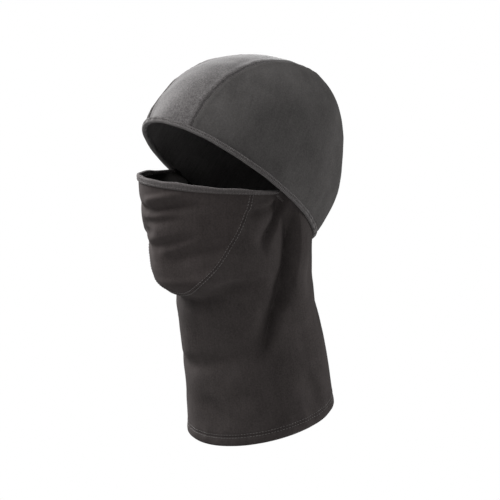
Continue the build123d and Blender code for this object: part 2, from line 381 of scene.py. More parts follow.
RIGHT_FOLDS = SIDE_FOLDS + [
    ([(-4, -120), (-12, -140), (-14, -158), (-20, -184)], 8.0, 8, 3.6, 0.08, 0.5, 3.5),
    ([(-8, -118), (-1, -150), (2, -178), (-6, -216), (-24, -270)], 13.0, 16, 5.5, 0.05, 0.4, 5.5),
    ([(1, -126), (9, -150), (11, -180), (4, -216)], -3.0, 7, 18, 0.15, 0.5),
    ([(-32, -132), (-22, -128), (-9, -119)], 3.0, 3.6, 5.0, 0.35, 0.1),
    ([(-22, -164), (-34, -186), (-50, -202)], 2.2, 7, 6, 0.4, 0.4),
    ([(-66, -268), (-45, -282), (-25, -292)], 2.2, 9, 9, 0.3, 0.4),
    ([(-62, -300), (-44, -322), (-34, -340)], 2.0, 10, 12, 0.4, 0.3),
    ([(-78, -142), (-62, -135), (-46, -131)], 2.6, 5, 4, 0.35, 0.4),
    ([(-80, -178), (-60, -170), (-42, -165), (-28, -160)], 3.6, 8, 6, 0.35, 0.35),
]
FOLD_POINTS = 26
FOLD_END = 2.4  # a fold is worked out as far as this many times its reach
FRONT_STEEPNESS = 1.6
BACK_STEEPNESS = 2.7
LEAN_PLACE = 1.1  # the lean is greatest at this share of the back reach
SEAM_END = 16.0  # a seam's relief is worked out as far as this from it
FAR = 1e3


def touched(line, phi, z, reach):
    """Which points lie within reach of the box round a line."""
    s = phi * TUBE_RADIUS
    low, high = line.min(0) - reach, line.max(0) + reach
    return (s > low[0]) & (s < high[0]) & (z > low[1]) & (z < high[1])


def offsets(line, s, z):
    """For each stretch of a line: its run, the share of it that is nearest to each point, and the way
    from there to the point."""
    for p, q in zip(line[:-1], line[1:]):
        run = q - p
        t = np.clip(((s - p[0]) * run[0] + (z - p[1]) * run[1]) / (run @ run), 0, 1)
        yield run, t, s - p[0] - t * run[0], z - p[1] - t * run[1]


def fold_depth(fold, phi, z):
    """Height that one fold adds to the tube, negative in its valley, and how far its back wall is
    drawn over the valley."""
    points, depth, front, back, fade_in, fade_out, *lean = fold
    line = through(points, FOLD_POINTS) * (radians(1) * TUBE_RADIUS, 1)
    height = np.zeros(phi.shape)
    shift = np.zeros(phi.shape)
    part = touched(line, phi, z, FOLD_END * max(front, back))
    s, z = phi[part] * TUBE_RADIUS, z[part]
    near = np.full(s.shape, FAR)
    side = np.zeros(s.shape)
    share = np.zeros(s.shape)
    for i, (run, t, off_s, off_z) in enumerate(offsets(line, s, z)):
        away = np.hypot(off_s, off_z)
        closer = away < near
        near = np.where(closer, away, near)
        side = np.where(closer, run[0] * off_z - run[1] * off_s, side)
        share = np.where(closer, (i + t) / (FOLD_POINTS - 1), share)
    width = np.where(side > 0, back, front)
    size = step_up(0, fade_in, share) * (1 - step_up(1 - fade_out, 1, share))
    steepness = np.where(side > 0, BACK_STEEPNESS, FRONT_STEEPNESS)
    height[part] = -depth * size * np.exp(-(near / width) ** steepness)
    if lean:
        behind = near * np.sign(side)
        shift[part] = -lean[0] * size * bell(behind - LEAN_PLACE * back, LEAN_PLACE * back)
    return height, shift


def seam_distance(line, phi, z):
    """Distance from a (phi, z) line, in millimetres along the cloth."""
    line = line * (TUBE_RADIUS, 1)
    distance = np.full(phi.shape, FAR)
    part = touched(line, phi, z, SEAM_END)
    s, z = phi[part] * TUBE_RADIUS, z[part]
    near = distance[part]
    for _, _, off_s, off_z in offsets(line, s, z):
        near = np.minimum(near, np.hypot(off_s, off_z))
    distance[part] = near
    return distance


COARSE_SHIELD = evenly_on_tube(SHIELD, 61)


def tube_surface(phi, z):
    """Outer face of the mask and neck cloth, with folds, seams and hem."""
    base = tube_base(phi, z)
    lift = 0.9 * tube_swell(base) + 0.2 * tube_ripple(base)
    lift = lift + FACE_EASE * step_up(-0.1, 0.7, -np.sin(phi))
    slide = np.zeros(phi.shape)
    for folds, angle, way in ((LEFT_FOLDS + FRONT_FOLDS, phi, 1), (RIGHT_FOLDS, -pi - phi, -1)):
        for fold in folds:
            height, shift = fold_depth(fold, angle, z)
            lift, slide = lift + height, slide + way * shift
    d = seam_distance(COARSE_SHIELD, phi, z)
    pucker = 0.22 * bell(d, 6) * np.sin(z / 2.4 + phi * 21)
    lift = lift + seam_relief(d, MASK_SEAM) + pucker
    above = z - hem_height(base[..., 1])
    around = phi * TUBE_RADIUS
    pucker = 0.25 * bell(above - HEM_STITCH, 6) * np.sin(around / 3.1 + 1.5 * np.sin(around / 17))
    lift = lift + pucker - HEM_GROOVE * bell(above - HEM_STITCH, HEM_GROOVE_WIDTH)
    lift = lift + HEM_ROLL * bell(above - HEM_ROLL_PLACE, HEM_ROLL_WIDTH)
    lift = lift - CLOTH * (1 - np.sqrt(1 - np.clip(1 - above / EDGE_ROUND, 0, 1) ** 2))
    back = np.minimum(np.abs(phi - pi / 2), np.abs(phi + 3 * pi / 2)) * TUBE_RADIUS
    lift = lift + seam_relief(back, BACK_SEAM)
    outward = unit(np.stack([np.cos(phi), np.sin(phi) * 0.8, np.zeros(phi.shape)], -1))
    onward = np.stack([-outward[..., 1], outward[..., 0], outward[..., 2]], -1)
    return base + outward * lift[..., None] + onward * slide[..., None]


def tube_at(phi, z):
    return with_normals(tube_surface, phi, z, scale=TUBE_RADIUS)


# ---- meshes ----
def make_object(name, points, faces, materials, uv=None, second=None, sharp=50):
    """A mesh object from points in millimetres. second gives each face the number of its material."""
    mesh = bpy.data.meshes.new(name)
    mesh.from_pydata((np.asarray(points) * MM).tolist(), [], faces)
    mesh.polygons.foreach_set("use_smooth", [True] * len(mesh.polygons))
    for material in materials:
        mesh.materials.append(material)
    if second is not None:
        mesh.polygons.foreach_set("material_index", second)
    if uv is not None:
        corners = np.empty(len(mesh.loops), int)
        mesh.loops.foreach_get("vertex_index", corners)
        layer = mesh.uv_layers.new(name="cloth")
        layer.data.foreach_set("uv", (uv[corners] * MM).ravel())
    mesh.set_sharp_from_angle(angle=radians(sharp))
    mesh.validate()
    mesh.update()
    piece = bpy.data.objects.new(name, mesh)
    bpy.context.scene.collection.objects.link(piece)
    return piece


def grid_quads(index):
    return np.stack([index[:-1, :-1], index[1:, :-1], index[1:, 1:], index[:-1, 1:]], -1).reshape(-1, 4)


def cloth_panel(name, outer, normals, uv, materials, thickness=CLOTH):
    """A closed sheet between a grid of outer points and the same grid set in by the thickness."""
    inner = outer - normals * thickness
    rows, columns = outer.shape[:2]
    count = rows * columns
    index = np.arange(count).reshape(rows, columns)
    top = grid_quads(index)
    border = np.concatenate([index[0], index[1:, -1], index[-1, -2::-1], index[-2:0:-1, 0]])
    after = np.roll(border, -1)
    wall = np.stack([border, after, after + count, border + count], -1)
    faces = np.concatenate([top, top[:, ::-1] + count, wall])
    i, j = rows // 2, columns // 2
    turn = np.cross(outer[i + 1, j] - outer[i, j], outer[i, j + 1] - outer[i, j])
    if turn @ normals[i, j] < 0:
        faces = faces[:, ::-1]
    second = np.zeros(len(faces), int)
    second[len(top):] = 1
    points = np.concatenate([outer.reshape(-1, 3), inner.reshape(-1, 3)])
    flat = np.concatenate([uv.reshape(-1, 2)] * 2)
    return make_object(name, points, faces.tolist(), materials, flat, second.tolist())


def tube_mesh(name, rings, closed, materials):
    """A closed skin over rings of points. An open run of rings gets an end face at both ends."""
    count, sides = rings.shape[:2]
    index = np.arange(count * sides).reshape(count, sides)
    index = np.concatenate([index, index[:, :1]], 1)
    if closed:
        index = np.concatenate([index, index[:1]], 0)
    faces = grid_quads(index).tolist()
    if not closed:
        faces += [index[0, :-1].tolist(), index[-1, :-1][::-1].tolist()]
    along = np.repeat(np.arange(count)[:, None], sides, 1)
    across = np.repeat(np.arange(sides)[None], count, 0)
    pitch = np.linalg.norm(np.diff(rings[:, 0], axis=0), axis=1).mean()
    girth = np.linalg.norm(np.diff(rings[0], axis=0), axis=1).mean()
    uv = np.stack([along * pitch, across * girth], -1).reshape(-1, 2)
    turn = np.cross(rings[1, 0] - rings[0, 0], rings[0, 1] - rings[0, 0])
    if turn @ (rings[0, 0] - rings[0].mean(0)) > 0:
        faces = [face[::-1] for face in faces]
    return make_object(name, rings.reshape(-1, 3), faces, materials, uv)


def closed_profile(points, count):
    """A smooth closed outline through a few (out, up) points."""
    points = np.asarray(points, float)
    ring = np.concatenate([points[-2:], points, points[:2]])
    at = run_along(ring)
    wanted = np.linspace(at[2], at[-2], count, endpoint=False)
    return np.stack([smooth(at, column, wanted) for column in ring.T], -1)


STITCH_RINGS = 6
STITCH_SIDES = 8
# Distance from stitch to stitch, then each stitch's length, width and rise.
CROWN_STITCH = (2.8, 2.3, 0.6, 0.35)
RIM_STITCH = (3.0, 2.4, 0.75, 0.4)
MASK_BAND_STITCH = (2.9, 2.3, 0.7, 0.35)
MASK_STITCH = (2.9, 2.4, 0.8, 0.5)
BACK_STITCH = (2.9, 2.4, 0.7, 0.45)
HEM_STITCHES = (2.9, 2.4, 0.75, 0.5)
TACK_STITCH = (0.8, 3.0, 0.7, 0.5)
TACK_SLANT = 78


def stitch_shape(length, width, rise):
    """Points of one lying stitch along x, arched up in z, and its faces."""
    t = np.linspace(-1, 1, STITCH_RINGS)
    turn = np.linspace(0, 2 * pi, STITCH_SIDES, endpoint=False)
    girth = width / 2 * (1 - 0.72 * np.abs(t) ** 3)
    x = np.repeat((t * length / 2)[:, None], STITCH_SIDES, 1)
    y = girth[:, None] * np.cos(turn)
    z = girth[:, None] * np.sin(turn) * 0.8 + (rise * (1 - t * t) - rise * 0.45)[:, None]
    index = np.arange(STITCH_RINGS * STITCH_SIDES).reshape(STITCH_RINGS, STITCH_SIDES)
    ends = [index[0].tolist(), index[-1][::-1].tolist()]
    wrapped = np.concatenate([index, index[:, :1]], 1)
    return np.stack([x, y, z], -1).reshape(-1, 3), grid_quads(wrapped)[:, ::-1].tolist(), ends


def stitches(name, rows, material, stitch, slant=0.0):
    """Sewn rows as one piece. Each row is a fine line of points and the cloth's normals there."""
    pitch, *size = stitch
    shape, sides, ends = stitch_shape(*size)
    points, faces = [], []
    for line, normals in rows:
        at = run_along(line)
        count = int(at[-1] / pitch)
        centers = (np.arange(count) + 0.5) * at[-1] / count
        place = read_line(centers, at, line)
        up = unit(read_line(centers, at, normals))
        along = unit(read_line(centers + 0.6, at, line) - read_line(centers - 0.6, at, line))
        across = unit(np.cross(up, along))
        along = np.cross(across, up)
        lean = radians(slant) + rng.normal(0, 0.05, count)
        turned = along * np.cos(lean)[:, None] + across * np.sin(lean)[:, None]
        across = np.cross(up, turned)
        local = shape[None] * rng.uniform(0.92, 1.06, (count, 1, 1))
        placed = (place[:, None] + local[..., :1] * turned[:, None] + local[..., 1:2] * across[:, None]
                  + local[..., 2:] * up[:, None])
        for corners in placed:
            start = len(points) * len(shape)
            points.append(corners)
            faces += [[start + k for k in face] for face in sides + ends]
    return make_object(name, np.concatenate(points), faces, [material], sharp=80)


# ---- materials ----
def set_inputs(node, values):
    for name, value in values.items():
        node.inputs[name].default_value = value


def new_material(name, roughness, sheen, specular=0.2):
    material = bpy.data.materials.new(name)
    material.use_nodes = True
    shader = material.node_tree.nodes["Principled BSDF"]
    set_inputs(shader, {"Roughness": roughness, "Sheen Weight": sheen, "Sheen Roughness": 0.45,
                        "Specular IOR Level": specular})
    return material


class Nodes:
    """Short ways to add the few kinds of node that the materials use."""

    def __init__(self, material):
        self.tree = material.node_tree
        self.shader = self.tree.nodes["Principled BSDF"]
        self.coords = self.new("TexCoord")

    def new(self, kind):
        return self.tree.nodes.new("ShaderNode" + kind)

    def plug(self, value, socket):
        if isinstance(value, bpy.types.NodeSocket):
            self.tree.links.new(value, socket)
        else:
            socket.default_value = value

    def noise(self, size_mm, stretch=(1, 1, 1), space="Object", detail=2.0, roughness=0.55):
        """Noise whose spots are about size_mm across, longer where stretch is below 1."""
        mapping = self.new("Mapping")
        mapping.inputs["Scale"].default_value = [way / (size_mm * MM) for way in stretch]
        self.plug(self.coords.outputs[space], mapping.inputs["Vector"])
        noise = self.new("TexNoise")
        set_inputs(noise, {"Scale": 1.0, "Detail": detail, "Roughness": roughness})
        self.plug(mapping.outputs["Vector"], noise.inputs["Vector"])
        return noise.outputs["Fac"]

    def math(self, operation, a, b=0.0, c=0.0):
        node = self.new("Math")
        node.operation = operation
        for value, socket in zip((a, b, c), node.inputs):
            self.plug(value, socket)
        return node.outputs["Value"]

    def wave(self, value, length_mm):
        return self.math("SINE", self.math("MULTIPLY", value, 2 * pi / (length_mm * MM)))

    def split_uv(self):
        split = self.new("SeparateXYZ")
        self.plug(self.coords.outputs["UV"], split.inputs["Vector"])
        return split.outputs["X"], split.outputs["Y"]

    def paint(self, value, low, high, colors):
        """Gives the material colours that are spread over the values from low to high."""
        node = self.new("ValToRGB")
        stops = node.color_ramp.elements
        for _ in colors[2:]:
            stops.new(0.5)
        for i, (stop, color) in enumerate(zip(stops, colors)):
            stop.position = low + (high - low) * i / (len(colors) - 1)
            stop.color = (*color, 1)
        self.plug(value, node.inputs["Fac"])
        self.plug(node.outputs["Color"], self.shader.inputs["Base Color"])

    def bump(self, height, distance_mm):
        """Gives the material a relief."""
        node = self.new("Bump")
        set_inputs(node, {"Strength": 1.0, "Distance": distance_mm * MM})
        self.plug(height, node.inputs["Height"])
        self.plug(node.outputs["Normal"], self.shader.inputs["Normal"])


def shades(color, spread):
    return [tuple(c * (1 + k * spread) for c in color) for k in (-1, 0, 1)]


WALE_MM = 1.5  # from rib to rib of the jersey
MOTTLE = 0.3  # share of soft clouds in its colour


def knit(name, color, heather=0.35, streak=0.2, sheen=0.0, fuzz=0.5):
    """Brushed or smooth jersey: fine ribs along the cloth, heather flecks and a fuzzy surface."""
    material = new_material(name, 0.95, sheen, specular=0.06)
    n = Nodes(material)
    flecks = n.noise(1.5, detail=3, roughness=0.7)
    fibres = n.noise(0.5, detail=2)
    streaks = n.noise(2.4, (1, 0.09, 1), "UV", 2)
    clouds = n.noise(34, detail=3)
    tone = n.math("MULTIPLY_ADD", flecks, heather, 0.5 - 0.5 * (heather + streak + MOTTLE))
    tone = n.math("MULTIPLY_ADD", streaks, streak, tone)
    tone = n.math("MULTIPLY_ADD", clouds, MOTTLE, tone)
    n.paint(tone, 0.32, 0.68, shades(color, 0.5))
    u, v = n.split_uv()
    bow = n.math("MULTIPLY", n.wave(v, 1.15 * WALE_MM), 0.9)
    wale = n.math("SINE", n.math("MULTIPLY_ADD", u, 2 * pi / (WALE_MM * MM), bow))
    height = n.math("MULTIPLY_ADD", wale, 0.16, n.math("MULTIPLY", fibres, fuzz))
    height = n.math("MULTIPLY_ADD", flecks, 0.9 * fuzz, height)
    n.bump(height, 0.09)
    return material


def ribbed(name, color, rib_mm=1.5):
    """Elastic binding: cross ribs over a fine weave."""
    material = new_material(name, 0.85, 0.1, specular=0.12)
    n = Nodes(material)
    u, v = n.split_uv()
    rib = n.wave(u, rib_mm)
    weave = n.wave(v, 0.7)
    flecks = n.noise(0.9, detail=3, roughness=0.7)
    tone = n.math("MULTIPLY_ADD", rib, 0.10, n.math("MULTIPLY", flecks, 0.8))
    n.paint(tone, 0.2, 0.65, shades(color, 0.45))
    height = n.math("MULTIPLY_ADD", weave, 0.2, n.math("MULTIPLY_ADD", flecks, 0.5, rib))
    n.bump(height, 0.16)
    return material


def sewing_thread(name, color):
    """Spun polyester thread: a fine slanting twist and uneven dye."""
    material = new_material(name, 0.62, 0.3, specular=0.35)
    n = Nodes(material)
    twist = n.noise(0.28, detail=1)
    dye = n.noise(6, detail=2)
    tone = n.math("MULTIPLY_ADD", twist, 0.6, n.math("MULTIPLY", dye, 0.4))
    n.paint(tone, 0.3, 0.7, shades(color, 0.3))
    n.bump(twist, 0.12)
    return material


def satin(name, color):
    """Woven label satin: tight warp lines and a soft gloss."""
    material = new_material(name, 0.42, 0.2, specular=0.4)
    n = Nodes(material)
    u, v = n.split_uv()
    warp = n.wave(u, 0.45)
    weft = n.wave(v, 0.6)
    dye = n.noise(5, detail=3)
    n.paint(dye, 0.3, 0.7, shades(color, 0.06))
    n.bump(n.math("MULTIPLY_ADD", warp, 0.6, weft), 0.08)
    return material


hood_cloth = knit("hood_cloth_outside", (0.074, 0.0704, 0.0690), streak=0.08)
crown_cloth = knit("crown_cloth_outside", (0.106, 0.0997, 0.0997), 0.9, 0.08, sheen=0.4, fuzz=0.8)
# Inner face of the hood: partly a brushed face lighter than the outer one, and partly painted light,
# lighter still to stand in for light falling in through the face opening.
hood_inside_fleece_and_painted_light = knit("hood_cloth_inside_fleece_and_painted_light", (0.130, 0.124, 0.124), heather=0.3, fuzz=0.8)
mask_cloth = knit("mask_cloth_outside", (0.052, 0.0442, 0.0430), streak=0.1, fuzz=0.4)
neck_cloth = knit("neck_cloth_outside", (0.051, 0.0443, 0.0432), streak=0.1, fuzz=0.4)
# Inner face of the neck cloth, darker than its outer face: painted shade for the inside of the tube.
neck_inside_painted_shade = knit("neck_cloth_inside_painted_shade", (0.032, 0.030, 0.029), heather=0.3, fuzz=0.8)
hood_band_cloth = ribbed("hood_binding_rib", (0.130, 0.122, 0.121))
mask_band_cloth = ribbed("mask_binding_rib", (0.105, 0.095, 0.094), rib_mm=1.3)
thread = sewing_thread("sewing_thread", (0.085, 0.075, 0.073))
label_cloth = satin("label_satin", (0.55, 0.54, 0.52))


def follow_hood(piece):
    """Bakes the piece's placement into its mesh."""
    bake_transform(piece)


def follow_mask(piece):
    """Bakes the piece's placement into its mesh."""
    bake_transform(piece)


# ---- hood pieces ----
HOOD_ROWS = 220
CENTER_COLUMNS = 44
SIDE_PANEL_COLUMNS = 84
SIDE_LIMIT = radians(88.3)  # side angle at which the side panels end, beside the ear
b_line = np.linspace(0, pi, HOOD_ROWS)
seam_line = np.interp(b_line, SEAM_B, SEAM_A)


def hood_panel(name, low, high, columns, outside):
    """A panel between two side angles that change from brim to nape. The ribs of the jersey run
    lengthways on the centre panel and upright on the others."""
    share = np.linspace(0, 1, columns)
    a = low[:, None] * (1 - share) + high[:, None] * share
    b = np.repeat(b_line[:, None], columns, 1)
    points, normals = hood_at(a, b)
    uv = np.stack([(points - RIM_CENTER) @ RIM_BACK, a * DOME_RADIUS], -1)
    if outside is crown_cloth:
        uv = np.stack([points[..., 0], b * DOME_RADIUS], -1)
    return cloth_panel(name, points, normals, uv, [outside, hood_inside_fleece_and_painted_light])


side_end = np.full(HOOD_ROWS, SIDE_LIMIT)
crown_center = hood_panel("crown_center_panel_cloth", -seam_line, seam_line, CENTER_COLUMNS, crown_cloth)
crown_left = hood_panel("crown_left_panel_cloth", seam_line, side_end, SIDE_PANEL_COLUMNS, hood_cloth)
crown_right = hood_panel("crown_right_panel_cloth", -side_end, -seam_line, SIDE_PANEL_COLUMNS, hood_cloth)

CROWN_ROW_OFFSETS = (-1.7, 1.7)


def crown_rows(side):
    """Two rows of stitches, one on each side of a crown seam."""
    rows = []
    b = np.linspace(0.03, pi - 0.03, 500)
    for offset in CROWN_ROW_OFFSETS:
        a = side * (np.interp(b, SEAM_B, SEAM_A) + offset / DOME_RADIUS)
        rows.append(hood_at(a, b))
    return rows


crown_stitches_left = stitches("crown_seam_stitches_left_thread", crown_rows(1), thread, CROWN_STITCH)
crown_stitches_right = stitches("crown_seam_stitches_right_thread", crown_rows(-1), thread, CROWN_STITCH)

RIM_STEPS = 1680
RIM_RIB = 1.75  # from rib to rib
round_rim = np.linspace(0, 2 * pi, RIM_STEPS, endpoint=False)
rim_run = round_rim * (RIM_HALF_WIDTH + RIM_HALF_LENGTH) / 2
rim_wobble = 0.25 * np.sin(rim_run / 11) + 0.18 * np.sin(rim_run / 4.7 + 1)


def rim_band():
    """The rolled, ribbed binding round the rim."""
    outline = closed_profile([
        (-0.8, 3.5), (0.8, 3.6), (2.0, 3.2), (2.1, 2.4), (1.6, 1.8), (1.9, 1.1), (2.0, 0.2), (1.4, -0.8),
        (0.2, -1.3), (-1.5, -0.9), (-2.5, 0.3), (-2.5, 1.8), (-2.3, 2.9), (-1.6, 3.4)], 26)
    rib = 1 + 0.07 * np.sin(rim_run * 2 * pi / RIM_RIB)
    theta, out = np.broadcast_arrays(round_rim[:, None], outline[:, 0][None])
    up = outline[:, 1][None] + rim_wobble[:, None] * 0.6
    rings = rim_point(theta, out * rib[:, None], up)
    return tube_mesh("hood_face_binding_band", rings, True, [hood_band_cloth])


def rim_row():
    """The row of stitches on the outer face of that binding."""
    theta = np.linspace(0, 2 * pi, 900)
    up = 1.8 + 0.6 * np.interp(theta, round_rim, rim_wobble, period=2 * pi)
    line = rim_point(theta, 2.0, up)
    normals = unit(rim_point(theta, 3.0, up) - line)
    return stitches("hood_binding_stitches_thread", [(line, normals)], thread, RIM_STITCH)


hood_binding = rim_band()
hood_band_stitches = rim_row()

# ---- mask pieces ----
MASK_ROWS = 84


def edge_heights(phi, drop):
    """Height on the tube of the mask's top edge, or of a line a share of the binding below it."""
    z = np.full(phi.shape, HINGE[2])
    for _ in range(6):
        y = tube_base(phi, z)[..., 1]
        z = mask_edge(y) - drop * mask_band(y)
    return z


def tube_panel(name, around, top, bottom, rows, surface, materials, inset=0.0):
    """A panel of the tube between two lines of heights at the same angles around it."""
    share = np.linspace(0, 1, rows)[:, None]
    phi = np.repeat(around[None], rows, 0)
    z = top * (1 - share) + bottom * share
    points, normals = surface(phi, z)
    uv = np.stack([phi * TUBE_RADIUS, z], -1)
    return cloth_panel(name, points - normals * inset, normals, uv, materials)


mask_top = edge_heights(SHIELD[:, 0], 0.5)
mask_front = tube_panel("mask_front_panel_cloth", SHIELD[:, 0], mask_top, SHIELD[:, 1], MASK_ROWS, tube_at,
                        [mask_cloth, neck_inside_painted_shade])

MASK_BAND_STEPS = 900
MASK_RIB = 1.5  # from rib to rib
BAND_DEPTH = 7.0  # the binding's outline is drawn for a binding as wide as this
ROW_SHARE = 0.72  # the stitches run this share of the way down the binding
PHI_HINGE = -np.arcsin((HINGE_WIDEST - HINGE[1]) / HINGE_REACH)


def mask_band_pieces():
    """The binding along the mask's top edge, thinner near the hinge, and the stitches on it."""
    outline = closed_profile([
        (0.2, -0.1), (1.25, -0.55), (1.55, -2.0), (1.35, -3.6), (1.25, -5.2), (0.8, -6.6), (-0.2, -7.0),
        (-1.7, -6.6), (-2.3, -4.6), (-2.4, -2.2), (-1.9, -0.6), (-0.8, 0.1)], 24)
    around = np.linspace(PHI_HINGE, -pi - PHI_HINGE, MASK_BAND_STEPS)
    run = around * TUBE_RADIUS
    edge_z = edge_heights(around, 0.0)
    edge, edge_normals = tube_at(around, edge_z - 1.0)
    width = mask_band(edge[:, 1]) / BAND_DEPTH
    edge[:, 2] += 1.0 + 0.35 * np.sin(run / 8) + 0.25 * np.sin(run / 3.9)
    low, low_normals = tube_at(around, edge_z - BAND_DEPTH * width)
    thinning = 0.55 + 0.45 * np.minimum(width / 0.8, 1)
    deep = np.clip(-outline[:, 1] / BAND_DEPTH, 0, 1)[:, None]
    base = edge[:, None] * (1 - deep) + low[:, None] * deep
    face = unit(edge_normals[:, None] * (1 - deep) + low_normals[:, None] * deep)
    rib = (1 + 0.06 * np.sin(run * 2 * pi / MASK_RIB)) * thinning
    rings = base + face * (outline[:, 0] * rib[:, None])[..., None]
    band = tube_mesh("mask_top_binding_band", rings, False, [mask_band_cloth])
    line = edge * (1 - ROW_SHARE) + low * ROW_SHARE
    normals = unit(edge_normals * (1 - ROW_SHARE) + low_normals * ROW_SHARE)
    rows = [(line + normals * (1.2 * thinning)[:, None], normals)]
    return band, stitches("mask_binding_stitches_thread", rows, thread, MASK_BAND_STITCH)


mask_binding, mask_band_stitches = mask_band_pieces()

# ---- neck pieces ----
NECK_ROWS = 118
SIDE_COLUMNS = 16
BACK_COLUMNS = 76
CROWDING = 1.3  # the columns stand closer together near the hinge, where the folds are
MERGE = 42.0  # the cloth leaves the hood's rim and joins the tube over this height
CALM = 0.75  # share of its folds that the cloth loses where it is sewn to the rim
THETA_HINGE = -radians(4.6)  # the hinge's place round the rim


def rim_seat(turn):
    """Where the neck cloth is sewn inside the hood's rim. turn is 0 at the hinge, 1 at the nape."""
    return rim_point(THETA_HINGE + (pi / 2 - THETA_HINGE) * turn, -2.2, 2.5)


side_phi = np.linspace(SHIELD[0, 0], PHI_HINGE, SIDE_COLUMNS + 1)[1:]
back_share = np.linspace(0, 1, BACK_COLUMNS)[1:] ** CROWDING
back_top = rim_seat(back_share)[:, 2]
left_phi = np.concatenate([side_phi, PHI_HINGE + (pi / 2 - PHI_HINGE) * back_share])
left_top = np.concatenate([edge_heights(side_phi, 1.0), back_top])
column_phi = np.concatenate([left_phi[::-1], SHIELD[:, 0], -pi - left_phi])
column_top = np.concatenate([left_top[::-1], SHIELD[:, 1], left_top])


def hem_line(phi):
    """Height of the lower edge at an angle round the tube."""
    z = np.full(phi.shape, HEM_Z)
    for _ in range(12):
        z = hem_height(tube_base(phi, z)[..., 1])
    return z


def neck_surface(phi, z):
    """The tube, drawn out to the hood's rim at its upper edge behind the hinge."""
    left = np.where(phi > -pi / 2, phi, -pi - phi)
    turn = np.clip((left - PHI_HINGE) / (pi / 2 - PHI_HINGE), 0, 1)
    seat = rim_seat(turn)
    top = seat[..., 2]
    behind = step_up(0, 0.10, turn)
    seat[..., 0] *= np.where(phi > -pi / 2, 1, -1)
    near = (1 - step_up(0, MERGE, top - z)) * behind
    calm = CALM * near[..., None]
    surface = tube_surface(phi, z) * (1 - calm) + tube_base(phi, z) * calm
    pull = seat - tube_base(phi, top)
    return surface + pull * near[..., None]


def neck_at(phi, z):
    return with_normals(neck_surface, phi, z, scale=TUBE_RADIUS)


neck_panel = tube_panel("neck_panel_cloth", column_phi, column_top, hem_line(column_phi), NECK_ROWS,
                        neck_at, [neck_cloth, neck_inside_painted_shade])

MASK_ROW_OFFSETS = (-1.2, 1.2)


def mask_rows(line):
    """Two rows of stitches, one on each side of a (phi, z) line on the tube."""
    flat = evenly_on_tube(line, 400) * (TUBE_RADIUS, 1)
    along = unit(np.gradient(flat, axis=0))
    beside = np.stack([-along[:, 1], along[:, 0]], -1)
    rows = []
    for offset in MASK_ROW_OFFSETS:
        moved = (flat + beside * offset) / (TUBE_RADIUS, 1)
        rows.append(tube_at(moved[:, 0], moved[:, 1]))
    return rows


half = len(SHIELD) // 2
left_rows, right_rows = mask_rows(SHIELD[:half + 1]), mask_rows(SHIELD[half:])
mask_stitches_left = stitches("mask_seam_stitches_left_thread", left_rows, thread, MASK_STITCH)
mask_stitches_right = stitches("mask_seam_stitches_right_thread", right_rows, thread, MASK_STITCH)

BACK_ROW_OFFSET = 1.8 / TUBE_RADIUS
HEM_ROW_OFFSETS = (-1.5, 1.5)


def back_rows():
    """Two rows of stitches, one on each side of the seam at the back."""
    z = np.linspace(back_top[-1] - 3, hem_line(np.array([pi / 2]))[0] + HEM_FACING, 300)
    angles = (pi / 2 - BACK_ROW_OFFSET, -3 * pi / 2 + BACK_ROW_OFFSET)
    return [neck_at(np.full(z.shape, angle), z) for angle in angles]


def hem_rows():
    """The two rows of the cover stitch."""
    phi = np.linspace(pi / 2, -3 * pi / 2, 900)
    return [tube_at(phi, hem_line(phi) + HEM_STITCH + offset) for offset in HEM_ROW_OFFSETS]


back_stitches = stitches("neck_back_seam_stitches_thread", back_rows(), thread, BACK_STITCH)
hem_stitches = stitches("hem_coverstitch_thread", hem_rows(), thread, HEM_STITCHES)

FACING_ROWS = 16
FACING_COLUMNS = 360
FACING_RISE = 0.3  # the facing starts this far above the lower edge
FACING_GAP = 0.05  # and lies this far inside the neck cloth
facing_phi = np.linspace(pi / 2, -3 * pi / 2, FACING_COLUMNS)
facing_bottom = hem_line(facing_phi) + FACING_RISE
hem_facing = tube_panel("hem_facing_cloth", facing_phi, facing_bottom + HEM_FACING, facing_bottom,
                        FACING_ROWS, tube_at, [neck_inside_painted_shade, neck_cloth], inset=CLOTH + FACING_GAP)


def bartack(name, side):
    """A dense block of short cross stitches on the neck cloth, close under the rim at the hinge."""
    y = np.linspace(HINGE[1] + 2, HINGE[1] + 10, 60)
    turn = np.arcsin((y - HINGE_WIDEST) / HINGE_REACH)
    rows = []
    for drop in (1.4, 2.6):
        rim_z = RIM_CENTER[2] - tan(RIM_TILT) * (y - RIM_CENTER[1]) - drop / cos(RIM_TILT)
        rows.append(neck_at(turn if side > 0 else -pi - turn, rim_z))
    middle = ((rows[0][0] + rows[1][0]) / 2, (rows[0][1] + rows[1][1]) / 2)
    return stitches(name, [middle], thread, TACK_STITCH, slant=TACK_SLANT)


tack_left = bartack("hinge_bartack_left_thread", 1)
tack_right = bartack("hinge_bartack_right_thread", -1)

LABEL_WIDTH, LABEL_HEIGHT, LABEL_TOP = 32.0, 40.0, -204.0
LABEL_CLOTH = 0.4
LABEL_RADIUS = 60.0  # turns an angle into a distance at the nape
LABEL_COLUMNS, LABEL_ROWS = 33, 41


def sewn_label():
    """A plain label that hangs from its upper edge, curling away from the nape further down."""
    across = np.linspace(-1, 1, LABEL_COLUMNS)
    down = np.linspace(0, 1, LABEL_ROWS)[:, None]
    phi = np.repeat((pi / 2 + across * LABEL_WIDTH / 2 / LABEL_RADIUS)[None], LABEL_ROWS, 0)
    z = np.repeat(LABEL_TOP - LABEL_HEIGHT * down, LABEL_COLUMNS, 1)
    points, normals = with_normals(tube_base, phi, z, scale=TUBE_RADIUS)
    hang = 3.0 + 3.2 * down**2 + 0.8 * np.sin(across * 2.5 + down * 3) * down
    uv = np.stack([phi * LABEL_RADIUS, z], -1)
    points = points - normals * hang[..., None]
    return cloth_panel("care_label_satin", points, normals, uv, [label_cloth, label_cloth], LABEL_CLOTH)


care_label = sewn_label()
